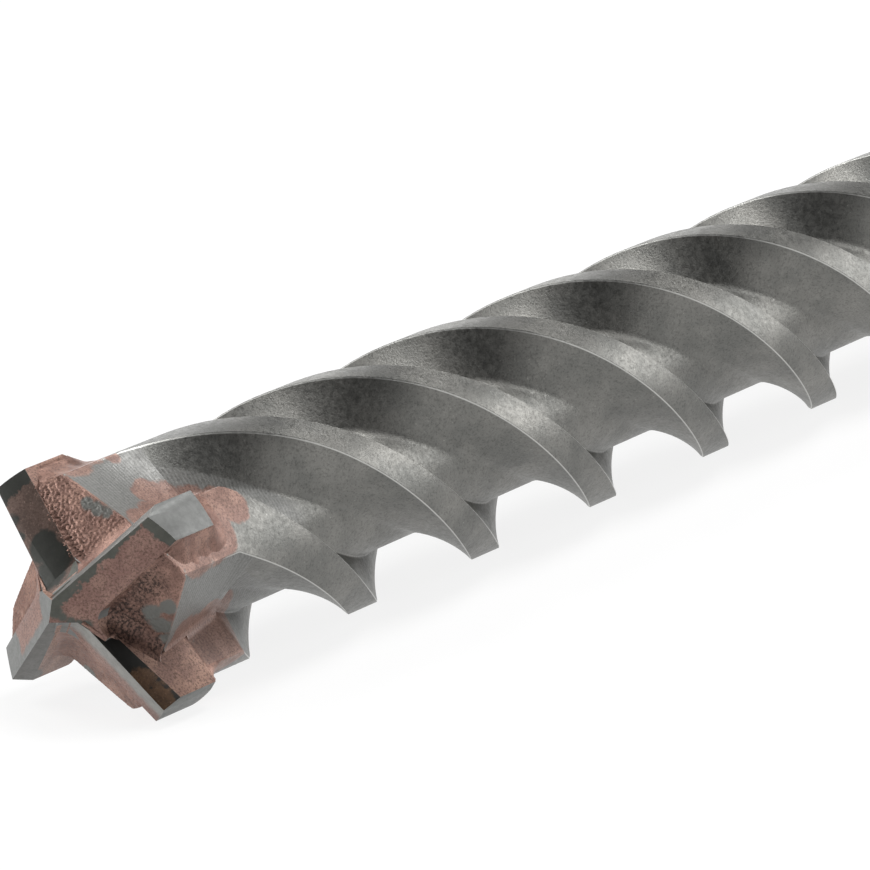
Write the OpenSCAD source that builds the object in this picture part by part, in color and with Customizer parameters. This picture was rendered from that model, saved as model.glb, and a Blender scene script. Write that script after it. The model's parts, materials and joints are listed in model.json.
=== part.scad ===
// Four-cutter masonry bit for a rotary hammer with an 18 mm slotted shank.
// It lies on its flute lands with the tip toward -X and the shank toward +X.
// The origin is on the axis, in the middle of the plain part of the shank.
// The modules draw it standing on its axis, tip up, with the tip at the origin,
// and lay() turns it down and shifts it. Stations are distances behind the tip.

/* [Overall] */
// Length from the chisel point to the struck end
overall_len = 320; // [280:1:400]
// Length of the fluted part from the point to the end of the flutes
fluted_len = 200; // [160:1:230]

/* [Cutting head] */
// Diameter that the four arms cut
cut_d = 25; // [24:0.1:26]
// Depth of the carbide from the point to its flat underside
head_depth = 10.6; // [10:0.1:12]
// Distance from the radial line to an arm's leading side
arm_lead = 1.05; // [0.9:0.05:1.3]
// Distance from the radial line to an arm's trailing side
arm_trail = 2.7; // [2.4:0.05:3]
// Radius in the inner corners between the arms
web_r = 2; // [1.2:0.1:2.6]
// Distance of a cutting edge ahead of the axis
edge_offset = 0.6; // [0.3:0.05:0.8]
// Turn of a cutting edge back toward the radial line
edge_skew = 2; // [0:0.1:2.5]
// Slope of the two main cutting edges
main_slope = 18.2; // [15:0.1:21]
// Slope of the two secondary cutting edges
side_slope = 11.2; // [9:0.1:14]
// Drop of the secondary edges below the point, at the axis
side_drop = 1.7; // [1:0.05:2]
// Slope of the clearance face behind a cutting edge
relief_angle = 26; // [20:0.5:32]
// Angle between an edge's front face and the axis
rake_angle = 26; // [20:0.5:35]
// Direction of the grind that ends each half of the chisel edge
gash_angle = 45; // [38:1:52]
// Width of the flat ground on an arm's leading outer corner
corner_flat = 0.85; // [0.5:0.05:1.1]
// Angle of that flat to the end of the arm
corner_angle = 14; // [5:1:25]
// Bevel on the carbide's lower outer corners
foot_bevel = 0.4; // [0.2:0.05:0.8]

/* [Brazed seat] */
// Thickness of the copper layer between the carbide and the steel
braze_gap = 0.15; // [0.1:0.01:0.25]
// Slope of the steel shoulders along their arms
shoulder_fall = 7; // [4:0.1:12]
// Slope of the shoulder behind a main arm, down to the next arm
main_shoulder_slope = 33.5; // [28:0.5:38]
// Depth of that shoulder's plane below the point, at the axis
main_shoulder_drop = 1.8; // [1.2:0.05:2.4]
// Slope of the shoulder behind a secondary arm
side_shoulder_slope = 27.5; // [22:0.5:32]
// Depth of that shoulder's plane below the point, at the axis
side_shoulder_drop = 2.4; // [1.8:0.05:3]

/* [Flutes] */
// Diameter over the lands
land_d = 21.5; // [20.5:0.1:22.5]
// Diameter of the core between the flutes
core_d = 12.7; // [11:0.1:14]
// Axial travel of one full turn of the flutes
lead = 72.4; // [60:0.2:90]
// Number of flutes, one behind each arm
flutes = 4; // [4:1:4]
// Width of a land, as an angle about the axis
land_angle = 21.7; // [16:0.1:26]
// Further width of a land where its flute begins
land_flare = 17.2; // [8:0.1:20]
// Slope of the flute's shallow side to the radius
flank_angle = 27; // [20:0.5:35]
// Radius where the shallow side meets the core
flank_r = 2.5; // [1:0.1:3]
// Radius where the steep side meets the core
foot_r = 0.9; // [0.5:0.1:1.4]
// Station where the straight walls behind the arms turn into the helix
turn_station = 15.6; // [14.5:0.1:17]
// Station where a land has its plain width
flare_end = 32; // [26:0.5:40]
// Length over which the flutes run out at the rear
runout_len = 24; // [15:1:35]

/* [Milled relief between the arms] */
// Angle from an arm's radial line to the milled edge behind it
relief_edge = 28; // [26:0.5:32]
// Station where that edge starts to run back along the flute
relief_end = 13.8; // [12:0.1:14.2]
// Radius of the milled face at the next arm's wall, level with the carbide's foot
relief_high = 7.2; // [6.8:0.1:8.5]
// Radius of the milled face at the wall where the helix begins
relief_low = 6.2; // [6:0.1:6.8]

/* [Shank] */
// Diameter of the plain collar behind the flutes
collar_d = 21.2; // [19.5:0.1:21.2]
// Length of the collar, from the end of the flutes
collar_len = 14; // [6:1:25]
// Length of the cone from the collar down to the shank
cone_len = 6; // [4:1:12]
// Diameter of the shank
shank_d = 18; // [17.8:0.05:18.2]
// Distance from the struck end to the middle of the plain part of the shank
grip_pos = 75; // [65:1:85]
// Width of the centre hole in the struck end
centre_d = 5; // [3:0.5:7]
// Bevel at the struck end
end_bevel = 1.5; // [0.5:0.1:2.5]
// Width of an open drive groove
drive_w = 5; // [4:0.1:5.5]
// Depth of an open drive groove
drive_depth = 2.8; // [2:0.1:3.2]
// Length of the drive grooves from the struck end
drive_len = 50; // [35:1:60]
// Radius of the cutter that ends a drive groove
drive_cutter_r = 22; // [15:1:30]
// Angle from the lone drive groove to each of the other two
drive_angle = 142; // [138:1:146]
// Angle from the first arm to the lone drive groove
groove_turn = -43; // [-60:1:-30]
// Radius of the ball grooves that lock the bit
lock_r = 4.4; // [3.8:0.1:5]
// Depth of a lock groove
lock_depth = 2.6; // [1.8:0.1:3]
// Distance from the struck end to the middle of the lock grooves
lock_pos = 34; // [30:1:44]
// Length of a lock groove between its round ends
lock_len = 20; // [14:1:24]

/* [Hidden] */

head_r = cut_d / 2;
land_r = land_d / 2;
core_r = core_d / 2;
shank_r = shank_d / 2;
collar_r = collar_d / 2;
sector = 360 / flutes;
collar_end = fluted_len + collar_len;
shank_start = collar_end + cone_len;

// The bit rolls on its lands until the outer trailing corner of one arm touches down.
arm_roll = acos(land_r / head_r) + asin(arm_trail / head_r) - sector;

// Cutting blocks reach past whatever they cut
big = 2 * cut_d;
over = 1;
round_fn = 96;
small_fn = 48;

// Stations of the rings that the fluted part is swept through
ring_step = 1.9;
head_top = 2.2;
head_ring = turn_station - 0.6;
helix_ring = turn_station + 0.6;
ring_count = ceil((fluted_len - helix_ring) / ring_step);
stations = concat([head_top, relief_end, head_ring],
    [for (i = [0 : ring_count]) helix_ring + (fluted_len - helix_ring) * i / ring_count]);

// Number of chords in each stretch of a ring: a land, a rounded corner and a core
land_steps = 3;
corner_steps = 2;
core_steps = 5;
// A straight sector's milled face has as many points as the flute that follows it
face_steps = corner_steps + core_steps;

function polar(r, a) = [r * cos(a), r * sin(a)];
function arc(r, a, b, n) = [for (i = [0 : n]) polar(r, a + (b - a) * i / n)];
function rotated(p, a) = [p[0] * cos(a) - p[1] * sin(a), p[0] * sin(a) + p[1] * cos(a)];
function unit(v) = v / norm(v);

// A corner rounded with radius r, which is reduced where a side is too short for it
function rounded(before, corner, after, r) =
    let (u = unit(before - corner), v = unit(after - corner),
        half = acos(u * v) / 2,
        longest = 0.45 * min(norm(before - corner), norm(after - corner)),
        reach = min(r / tan(half), longest),
        centre = corner + unit(u + v) * reach / cos(half),
        start = corner + u * reach - centre,
        finish = corner + v * reach - centre,
        sweep = (180 - 2 * half) * sign(start[0] * finish[1] - start[1] * finish[0]))
    [for (i = [0 : corner_steps]) centre + rotated(start, sweep * i / corner_steps)];

// Where a line from p, heading at angle a, first meets the circle of radius r
function meet_circle(p, a, r) =
    let (d = polar(1, a), along = p * d)
    p - d * (along + sqrt(max(0, along * along - p * p + r * r)));

// Angles of a land's two corners from its radial line
lead_angle = asin(arm_lead / land_r);
function flare(s) = pow(max(0, flare_end - s) / (flare_end - turn_station), 2);
function trail_angle(s) = lead_angle - land_angle - land_flare * flare(s);

// Share of the full flute depth that is left at a station
function depth_share(s) = 1 - pow(max(0, s - fluted_len + runout_len) / runout_len, 2);
function shallow(p, share) = let (r = norm(p)) p * ((land_r - (land_r - r) * share) / r);

// Turn of the flutes at a station: none along the straight walls, then the helix
function turn(s) = -360 * max(0, s - turn_station) / lead;

// Distance from the axis to the foot of the milled face, at the next arm's wall
function relief_foot(s) =
    relief_high + (relief_low - relief_high) * (s - head_depth) / (turn_station - head_depth);

// Angle of the milled face's outer edge, which ends at the flared land's trailing corner
function face_edge(s) =
    let (back = max(0, s - relief_end) / (turn_station - relief_end))
    -relief_edge + (trail_angle(turn_station) + relief_edge) * back;

// One land and the hollow behind it, as far as the next land's wall
function straight_sector(s) =
    let (edge = polar(land_r, face_edge(s)), foot = [arm_lead, -relief_foot(s)])
    concat(arc(land_r, lead_angle, face_edge(s), land_steps),
        [for (i = [1 : core_steps]) edge + (foot - edge) * i / face_steps],
        rounded(edge, foot, [arm_lead, -land_r], foot_r));

function helix_sector(s) =
    let (trail = trail_angle(s), edge = polar(land_r, trail),
        toe = meet_circle(edge, trail + 180 + flank_angle, core_r),
        foot = [arm_lead, -sqrt(core_r * core_r - arm_lead * arm_lead)],
        core = arc(core_r, atan2(toe[1], toe[0]), atan2(foot[1], foot[0]), core_steps))
    concat(arc(land_r, lead_angle, trail, land_steps),
        rounded(edge, toe, core[corner_steps], flank_r),
        [for (i = [corner_steps + 1 : core_steps - 1]) core[i]],
        rounded(core[core_steps - 1], foot, [arm_lead, -land_r], foot_r));

function ring(s) =
    let (one = s < turn_station ? straight_sector(s) : helix_sector(s))
    [for (k = [0 : flutes - 1]) for (p = one)
        let (q = rotated(shallow(p, depth_share(s)), turn(s) - k * sector)) [q[0], q[1], -s]];

// A skin over rings of equal length, from the top one down, closed at both ends
module swept(rings) {
    n = len(rings[0]);
    last = len(rings) - 1;
    polyhedron(
        points = [for (r = rings) each r],
        faces = concat(
            [[for (i = [0 : n - 1]) i]],
            [for (j = [0 : last - 1]) for (i = [0 : n - 1])
                let (next = (i + 1) % n, up = j * n, down = up + n)
                each [[up + next, up + i, down + i], [up + next, down + i, down + next]]],
            [[for (i = [n - 1 : -1 : 0]) last * n + i]]));
}

module lay() {
    translate([grip_pos - overall_len, 0, 0]) rotate([0, -90, 0]) rotate([0, 0, arm_roll]) children();
}

module around() { for (k = [0 : flutes - 1]) rotate([0, 0, -k * sector]) children(); }

// Everything above a plane through the origin that falls along +X at one slope
// and toward -Y at another
module above(along, across) {
    rotate([0, along, 0]) rotate([across, 0, 0]) translate([-big / 2, -big / 2, 0]) cube(big);
}

// The inner corner behind an arm, filled out to a round. Grown outlines keep its centre.
module web_corner(grow) {
    r = web_r - grow;
    middle = [arm_lead + web_r, -arm_trail - web_r];
    difference() {
        translate([0, middle[1]]) square([middle[0], -middle[1]]);
        translate(middle) circle(r, $fn = round_fn);
    }
}

// Outline of one arm and the corner behind it, larger all round by grow
module arm_outline(grow) {
    translate([0, -arm_trail - grow]) square([head_r + over, arm_lead + arm_trail + 2 * grow]);
    web_corner(grow);
}

// An arm before its edges are ground, from a distance along its radial line outward
module arm_block(start) {
    translate([0, 0, -head_depth]) linear_extrude(head_depth + over) intersection() {
        arm_outline(0);
        translate([start, -big / 2]) square(big);
    }
}

// Puts what follows at an arm's cutting edge, for an arm that starts so far below the point
module at_edge(slope, drop) {
    lift = edge_offset * tan(relief_angle) / cos(slope) - drop;
    translate([0, edge_offset, lift]) rotate([0, 0, -edge_skew]) children();
}

// Half of the middle of the cross, between the chisel edge and the grind that ends it.
// It runs on into its arm, which starts at the edge_offset.
module chisel_half() {
    tip = chisel_end();
    grind_end = -tip[1] - (tip[0] + edge_offset) / tan(gash_angle);
    translate([0, 0, -head_depth]) linear_extrude(head_depth + over)
        polygon([tip, -tip, [edge_offset, grind_end], [2 * edge_offset, grind_end], [2 * edge_offset, 0]]);
}

// One end of the chisel edge, where the two main clearance faces and a cutting edge meet
function chisel_end() =
    let (along = tan(main_slope), across = tan(relief_angle) / cos(main_slope),
        slope = (along * cos(edge_skew) - across * sin(edge_skew))
            / (across * cos(edge_skew) + along * sin(edge_skew)),
        u = edge_offset / (slope + tan(edge_skew)))
    [u, u * slope];

// One of the two main arms, which meet across the axis in a chisel edge
module main_arm() {
    tip = chisel_end();
    difference() {
        union() {
            arm_block(edge_offset);
            chisel_half();
        }
        at_edge(main_slope, 0) above(main_slope, relief_angle);
        at_edge(main_slope, 0) above(main_slope, rake_angle - 90);
        intersection() {
            rotate([0, 0, atan2(tip[1], tip[0])]) translate([-big / 2, 0, -big / 2]) cube(big);
            rotate([0, 0, 180]) at_edge(main_slope, 0) above(main_slope, relief_angle);
        }
    }
}

module side_arm() {
    difference() {
        arm_block(0);
        at_edge(side_slope, side_drop) above(side_slope, relief_angle);
        at_edge(side_slope, side_drop) above(side_slope, rake_angle - 90);
    }
}

// The solid of revolution that the arms' ends are ground to, with its lower edge bevelled
module head_round() {
    rotate_extrude($fn = round_fn) polygon([
        [0, -head_depth - over], [head_r - foot_bevel, -head_depth - over],
        [head_r - foot_bevel, -head_depth], [head_r, -head_depth + foot_bevel],
        [head_r, over], [0, over]]);
}

// Flat ground on the leading outer corner of an arm
module corner_cut() {
    y = arm_lead - corner_flat;
    x = sqrt(head_r * head_r - y * y);
    translate([x, y, -head_depth - over]) rotate([0, 0, corner_angle])
        translate([0, -corner_flat / 4, 0]) cube([over, 2 * corner_flat + over, head_depth + 2 * over]);
}

module carbide_head() {
    color([0.42, 0.42, 0.41]) lay() difference() {
        intersection() {
            union() {
                for (side = [0, 180]) rotate([0, 0, side]) main_arm();
                for (side = [90, 270]) rotate([0, 0, side]) side_arm();
            }
            head_round();
        }
        around() corner_cut();
    }
}

// Steel shoulders: what is removed above the slope from each arm down to the next
module shoulder_cuts() {
    for (k = [0 : flutes - 1]) let (main = k % 2 == 0) rotate([0, 0, -k * sector]) intersection() {
        translate([0, -big, -big / 2]) cube(big);
        translate([0, 0, main ? -main_shoulder_drop : -side_shoulder_drop])
            above(shoulder_fall, main ? main_shoulder_slope : side_shoulder_slope);
    }
}

// The cross-shaped slot for the carbide, with room for the braze
module seat() {
    translate([0, 0, -head_depth - braze_gap]) linear_extrude(head_depth + braze_gap + over)
        around() arm_outline(braze_gap);
}

// What lies outside the milled face at the next arm's wall, where the face is close to a plane
module beyond_face() {
    edge = polar(land_r, -relief_edge);
    foot = [arm_lead, -relief_foot(head_depth)];
    heading = atan2(edge[1] - foot[1], edge[0] - foot[0]);
    slant = atan((relief_high - relief_low) / (turn_station - head_depth));
    intersection() {
        translate([foot[0], foot[1], -head_depth]) rotate([0, 0, heading]) rotate([slant, 0, 0])
            translate([-big / 2, -big, -big / 2]) cube(big);
        translate([arm_lead, -big, -big / 2]) cube(big);
    }
}

module braze_joint() {
    color([0.67, 0.46, 0.38]) lay() difference() {
        intersection() {
            seat();
            translate([0, 0, -head_depth - over]) cylinder(head_depth + 2 * over, r = land_r, $fn = round_fn);
        }
        translate([0, 0, -head_depth]) linear_extrude(head_depth + 2 * over) around() arm_outline(0);
        around() beyond_face();
        shoulder_cuts();
    }
}

// Collar, cone and shank as one turned shape, with the centre hole it was turned on
module turned_rear() {
    centre_r = centre_d / 2;
    rotate_extrude($fn = round_fn) polygon([
        [0, -fluted_len], [collar_r, -fluted_len], [collar_r, -collar_end],
        [shank_r, -shank_start], [shank_r, -overall_len + end_bevel],
        [shank_r - end_bevel, -overall_len], [centre_r, -overall_len],
        [0, -overall_len + centre_r / tan(30)]]);
}

// A groove open at the struck end, whose floor rises along the cutter's round
module drive_groove() {
    floor_r = shank_r - drive_depth;
    runout = sqrt(drive_cutter_r * drive_cutter_r - pow(drive_cutter_r - drive_depth, 2));
    middle = [floor_r + drive_cutter_r, drive_len - runout];
    rise = asin(runout / drive_cutter_r);
    translate([0, drive_w / 2, -overall_len]) rotate([90, 0, 0]) linear_extrude(drive_w)
        polygon(concat([[floor_r, -over]], [for (p = arc(drive_cutter_r, 180, 180 - rise, 8)) middle + p],
            [[shank_r + over, drive_len], [shank_r + over, -over]]));
}

// A closed groove with round ends for a locking ball
module lock_groove() {
    translate([shank_r - lock_depth + lock_r, 0, -overall_len + lock_pos])
        rotate_extrude($fn = small_fn) intersection() {
            union() {
                for (end = [-1, 1]) translate([0, end * lock_len / 2]) circle(lock_r, $fn = small_fn);
                translate([0, -lock_len / 2]) square([lock_r, lock_len]);
            }
            translate([0, -lock_len]) square([lock_r, 2 * lock_len]);
        }
}

module drill_body() {
    color([0.5, 0.5, 0.48]) lay() difference() {
        union() {
            swept([for (s = stations) ring(s)]);
            turned_rear();
        }
        shoulder_cuts();
        seat();
        rotate([0, 0, groove_turn]) {
            for (a = [0, drive_angle, -drive_angle]) rotate([0, 0, a]) drive_groove();
            for (a = [90, -90]) rotate([0, 0, a]) lock_groove();
        }
    }
}

drill_body();
braze_joint();
carbide_head();
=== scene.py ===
# %% [markdown]
# # A masonry drill bit, dressed for its portrait
#
# The solid model already fixes every size. Here each surface gets the look that its making gave it:
# blasted steel in the flutes, freshly milled faces between the arms, sintered carbide, and the copper
# that ran out of the furnace-brazed joint. The frame is loaded first and never moved.

# %% Load the frame
import json
import math

import bpy
from mathutils import Matrix, Vector, noise

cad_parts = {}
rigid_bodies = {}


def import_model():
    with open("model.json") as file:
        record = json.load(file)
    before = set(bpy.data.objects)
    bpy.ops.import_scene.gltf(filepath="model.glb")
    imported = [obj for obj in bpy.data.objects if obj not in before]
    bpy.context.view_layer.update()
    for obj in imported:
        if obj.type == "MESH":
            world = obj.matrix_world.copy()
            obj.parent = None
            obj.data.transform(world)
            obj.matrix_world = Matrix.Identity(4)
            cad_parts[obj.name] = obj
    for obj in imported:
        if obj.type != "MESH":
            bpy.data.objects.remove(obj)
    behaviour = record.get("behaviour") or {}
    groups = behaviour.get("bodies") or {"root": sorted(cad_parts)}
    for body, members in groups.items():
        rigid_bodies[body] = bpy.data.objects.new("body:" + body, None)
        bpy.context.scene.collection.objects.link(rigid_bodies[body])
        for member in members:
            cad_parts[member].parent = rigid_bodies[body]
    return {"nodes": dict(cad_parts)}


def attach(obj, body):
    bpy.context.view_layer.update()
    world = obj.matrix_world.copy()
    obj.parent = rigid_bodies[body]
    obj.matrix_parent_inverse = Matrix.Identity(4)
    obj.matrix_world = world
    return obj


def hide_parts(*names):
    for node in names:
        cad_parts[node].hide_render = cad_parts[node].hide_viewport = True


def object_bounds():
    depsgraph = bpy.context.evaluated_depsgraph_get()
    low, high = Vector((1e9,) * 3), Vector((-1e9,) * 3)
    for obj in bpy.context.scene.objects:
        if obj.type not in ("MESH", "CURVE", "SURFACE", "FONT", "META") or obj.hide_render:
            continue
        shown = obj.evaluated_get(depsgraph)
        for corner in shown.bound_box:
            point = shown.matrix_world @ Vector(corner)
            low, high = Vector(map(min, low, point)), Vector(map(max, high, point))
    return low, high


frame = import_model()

cad_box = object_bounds()
print("nodes:", sorted(frame["nodes"]))
print("whole object, metres:", cad_box)

# %% [markdown]
# ## Sizes
#
# All sizes are in millimetres, as on the maker's drawing. A station is a distance behind the carbide
# point. The bit lies along X, with the point toward -X, and the origin is in the plain part of the
# shank. An arm has its own frame: u runs out along the arm, v toward its leading side, and w toward
# the point. Arm 0 points up and toward the camera, and the others follow clockwise as the tip is seen.
# The bit has rolled on its lands until the outer trailing corner of one arm touches the floor.

# %% Sizes from the drawing
MM = 0.001
OVERALL, FLUTED, GRIP_POS = 320, 200, 75
TIP_X = GRIP_POS - OVERALL
HEAD_R, LAND_R, CORE_R, SHANK_R, COLLAR_R = 12.5, 10.75, 6.35, 9.0, 10.6
COLLAR_LEN, CONE_LEN = 14, 6
HEAD_DEPTH, ARM_LEAD, ARM_TRAIL, WEB_R = 10.6, 1.05, 2.7, 2.0
EDGE_OFFSET, BRAZE_GAP = 0.6, 0.15
LEAD, FLUTES = 72.4, 4
SECTOR = 360 / FLUTES
ARM_ROLL = math.degrees(math.acos(LAND_R / HEAD_R) + math.asin(ARM_TRAIL / HEAD_R)) - SECTOR


def tangent(degrees):
    """Tangent of an angle in degrees."""
    return math.tan(math.radians(degrees))


def place(u, v, w, arm=0):
    """A point in an arm's frame, in millimetres, as a point of the scene in metres."""
    turn = math.radians(ARM_ROLL - SECTOR * arm)
    across = u * math.sin(turn) + v * math.cos(turn)
    up = u * math.cos(turn) - v * math.sin(turn)
    return Vector((TIP_X - w, across, up)) * MM


def from_arm(point, arm):
    """The reverse of place: a point of the scene in metres, in an arm's frame in millimetres."""
    turn = math.radians(ARM_ROLL - SECTOR * arm)
    across, up = point.y / MM, point.z / MM
    return Vector((across * math.sin(turn) + up * math.cos(turn),
                   across * math.cos(turn) - up * math.sin(turn), TIP_X - point.x / MM))


print("point of the bit:", [round(c, 4) for c in place(0, 0, 0)], "roll:", round(ARM_ROLL, 2))

# %% [markdown]
# ## Camera
#
# The photograph was taken from far away with a long lens: the flutes' turns shrink by less than a tenth
# toward the rear. The camera stands over the tip, to its right, and the far end leaves the picture. It
# leans with the bit, so that the arms stand in the frame as in the photograph.

# %% Set the camera
IMAGE_PX, SENSOR_MM = 870, 36
FOCAL_PX = 6621
CAMERA_TURN, CAMERA_RISE, CAMERA_LEAN = math.radians(38.5), math.radians(19.45), math.radians(5.64)
TIP_IN_VIEW = Vector((-33.46, -15.36, -575.9)) * MM

backward = Vector((-math.cos(CAMERA_TURN) * math.cos(CAMERA_RISE),
                   -math.sin(CAMERA_TURN) * math.cos(CAMERA_RISE), math.sin(CAMERA_RISE)))
rightward = Vector((math.sin(CAMERA_TURN), -math.cos(CAMERA_TURN), 0))
upward = backward.cross(rightward)
lean = Matrix.Rotation(CAMERA_LEAN, 3, "X")
view_turn = lean @ Matrix((rightward, upward, backward)).transposed()
camera_data = bpy.data.cameras.new("portrait_camera")
camera_data.sensor_width = SENSOR_MM
camera_data.lens = FOCAL_PX / IMAGE_PX * SENSOR_MM
camera_data.clip_start, camera_data.clip_end = 0.01, 20
camera = bpy.data.objects.new("portrait_camera", camera_data)
camera.matrix_world = Matrix.Translation(place(0, 0, 0) - view_turn @ TIP_IN_VIEW) @ view_turn.to_4x4()
bpy.context.collection.objects.link(camera)
bpy.context.scene.camera = camera
print("camera at", [round(c, 3) for c in camera.location], "lens", round(camera_data.lens), "mm")

# %% [markdown]
# ## Helpers
#
# Colours are written as they look on a screen and turned to linear light by one function. One function
# adds a shader node with its settings and links, so that a material reads as a short recipe.

# %% Colour and node helpers


def linear(hex_colour):
    """An sRGB hex colour as linear red, green, blue and alpha."""
    parts = [int(hex_colour[i:i + 2], 16) / 255 for i in (0, 2, 4)]
    return [c / 12.92 if c <= 0.04045 else ((c + 0.055) / 1.055) ** 2.4 for c in parts] + [1]


def add_node(tree, kind, settings=None, **inputs):
    """Adds a shader node. An input is a value, an output, or a node whose shown output is meant."""
    node = tree.nodes.new("ShaderNode" + kind)
    for name, value in (settings or {}).items():
        setattr(node, name, value)
    for name, value in inputs.items():
        socket = node.inputs[int(name[1:])] if name[1:].isdigit() else node.inputs[name.replace("_", " ")]
        if isinstance(value, bpy.types.Node):
            value = next(output for output in value.outputs if output.enabled)
        if isinstance(value, bpy.types.NodeSocket):
            tree.links.new(value, socket)
        else:
            socket.default_value = value
    return node


def new_material(name):
    """An empty node material, with its tree."""
    material = bpy.data.materials.new(name)
    material.use_nodes = True
    material.node_tree.nodes.clear()
    return material, material.node_tree


# The settings that the recipes share.
ADD, SUBTRACT, MULTIPLY = {"operation": "ADD"}, {"operation": "SUBTRACT"}, {"operation": "MULTIPLY"}
LARGER, SMALLER = {"operation": "MAXIMUM"}, {"operation": "MINIMUM"}
SMOOTH, COLOURS = {"interpolation_type": "SMOOTHSTEP"}, {"data_type": "RGBA"}
WHITE = (1, 1, 1, 1)
print("a mid grey of 808080 in linear light:", round(linear("808080")[0], 3))

# %% Mesh helpers


def only(obj):
    """Selects one object, makes it the active one and deselects all others."""
    bpy.ops.object.select_all(action="DESELECT")
    obj.select_set(True)
    bpy.context.view_layer.objects.active = obj


def mesh_object(name, points, faces):
    """A new object from points in metres and faces."""
    mesh = bpy.data.meshes.new(name)
    mesh.from_pydata(points, [], faces)
    mesh.update()
    obj = bpy.data.objects.new(name, mesh)
    bpy.context.collection.objects.link(obj)
    return obj


def outward(obj):
    """Turns all faces of a closed mesh outward."""
    only(obj)
    bpy.ops.object.mode_set(mode="EDIT")
    bpy.ops.mesh.select_all(action="SELECT")
    bpy.ops.mesh.normals_make_consistent(inside=False)
    bpy.ops.object.mode_set(mode="OBJECT")


def extrude_all(obj, way):
    """Extrudes the whole sheet by a vector in metres and closes it to a slab."""
    only(obj)
    bpy.ops.object.mode_set(mode="EDIT")
    bpy.ops.mesh.select_all(action="SELECT")
    bpy.ops.mesh.extrude_region_move(TRANSFORM_OT_translate={"value": way})
    bpy.ops.object.mode_set(mode="OBJECT")
    outward(obj)


def apply_modifier(obj, kind, **settings):
    """Adds a modifier with its settings and applies it."""
    only(obj)
    modifier = obj.modifiers.new(kind.lower(), kind)
    for name, value in settings.items():
        setattr(modifier, name, value)
    bpy.ops.object.modifier_apply(modifier=modifier.name)


def cut_with(obj, cutter, operation="DIFFERENCE"):
    """Cuts an object with a closed cutter, which is then thrown away."""
    apply_modifier(obj, "BOOLEAN", operation=operation, solver="EXACT", object=cutter)
    bpy.data.objects.remove(cutter, do_unlink=True)


def join(pieces, name):
    """Joins pieces into the first one."""
    only(pieces[0])
    for piece in pieces[1:]:
        piece.select_set(True)
    bpy.ops.object.join()
    pieces[0].name = name
    return pieces[0]


def face_count(obj):
    """Number of faces in an object's mesh."""
    return len(obj.data.polygons)


print("meshes in the frame:", len(bpy.data.meshes))

# %% [markdown]
# ## Floor and light
#
# The photograph is a cut-out on white. The floor is a large pale plane that the camera sees as white
# apart from the bit's own soft shadow. Low, wide lamps stand behind the bit, so that the lands shine
# and the flute walls that face the camera stay dark. One hangs overhead, one lights the far side, and a
# small one in front on the left lights the ground faces of the carbide.

# %% Floor
FLOOR_Z = cad_box[0][2]
FLOOR_SIZE, WHITE_SHARE = 6, 0.85
bpy.ops.object.select_all(action="DESELECT")
bpy.ops.mesh.primitive_plane_add(size=FLOOR_SIZE, location=(0, 0, FLOOR_Z))
floor = bpy.context.object
floor.name = "studio_floor"

floor_paint, tree = new_material("matt_white_floor")
rays = add_node(tree, "LightPath")
direct = add_node(tree, "Math", LARGER, _0=rays.outputs["Is Camera Ray"], _1=rays.outputs["Is Glossy Ray"])
seen = add_node(tree, "Math", LARGER, _0=direct, _1=rays.outputs["Is Transmission Ray"])
share = add_node(tree, "Math", MULTIPLY, _0=seen, _1=WHITE_SHARE)
tone = add_node(tree, "Mix", COLOURS, _0=seen, _6=linear("C0C0C0"), _7=WHITE)
paint = add_node(tree, "BsdfDiffuse", Color=tone)
glow = add_node(tree, "Emission", Color=WHITE, Strength=1)
surface = add_node(tree, "MixShader", _0=share, _1=paint, _2=glow)
add_node(tree, "OutputMaterial", Surface=surface)
floor.data.materials.append(floor_paint)
print("floor at", round(FLOOR_Z, 5))

# %% World and lamps
FILL_STRENGTH = 0.05
world = bpy.data.worlds.new("studio_world")
bpy.context.scene.world = world
world.use_nodes = True
tree = world.node_tree
tree.nodes.clear()
rays = add_node(tree, "LightPath")
fill = add_node(tree, "Background", Color=WHITE, Strength=FILL_STRENGTH)
white = add_node(tree, "Background", Color=WHITE, Strength=1)
mix = add_node(tree, "MixShader", _0=rays.outputs["Is Camera Ray"], _1=fill, _2=white)
add_node(tree, "OutputWorld", Surface=mix)
LAMP_TARGET = place(0, 0, -40)


def soft_lamp(name, azimuth, elevation, distance, width, height, watts):
    """A wide lamp that looks at the head of the bit."""
    a, e = math.radians(azimuth), math.radians(elevation)
    toward = Vector((math.cos(a) * math.cos(e), math.sin(a) * math.cos(e), math.sin(e)))
    data = bpy.data.lights.new(name, "AREA")
    data.shape = "RECTANGLE"
    data.size, data.size_y = width, height
    data.energy = watts
    lamp = bpy.data.objects.new(name, data)
    lamp.location = LAMP_TARGET + toward * distance
    lamp.rotation_euler = toward.to_track_quat("Z", "Y").to_euler()
    bpy.context.collection.objects.link(lamp)


soft_lamp("lamp_right_rear", azimuth=-34, elevation=17, distance=1.8, width=1.4, height=1, watts=18)
soft_lamp("lamp_back", azimuth=42, elevation=14, distance=1.8, width=1.4, height=0.8, watts=7)
soft_lamp("lamp_top", azimuth=-30, elevation=70, distance=1.3, width=0.7, height=0.7, watts=14)
soft_lamp("lamp_far_side", azimuth=100, elevation=45, distance=1.3, width=0.8, height=0.8, watts=9)
soft_lamp("lamp_left_front", azimuth=140, elevation=12, distance=1.2, width=0.6, height=0.6, watts=9)
bpy.context.scene.view_settings.view_transform = "Standard"
print("lamps:", len(bpy.data.lights))

# %% [markdown]
# ## Steel body
#
# The real body starts as a bar: the flutes are rolled or milled with a steady lead, the lands grow wider
# toward the head, and the flutes run out into the collar at the rear. A screw modifier can only repeat
# one section, and this one changes along the bar, so the bar is lofted: each ring of points is the
# section at one station, and one skin joins all rings from the head to the struck end.

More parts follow.
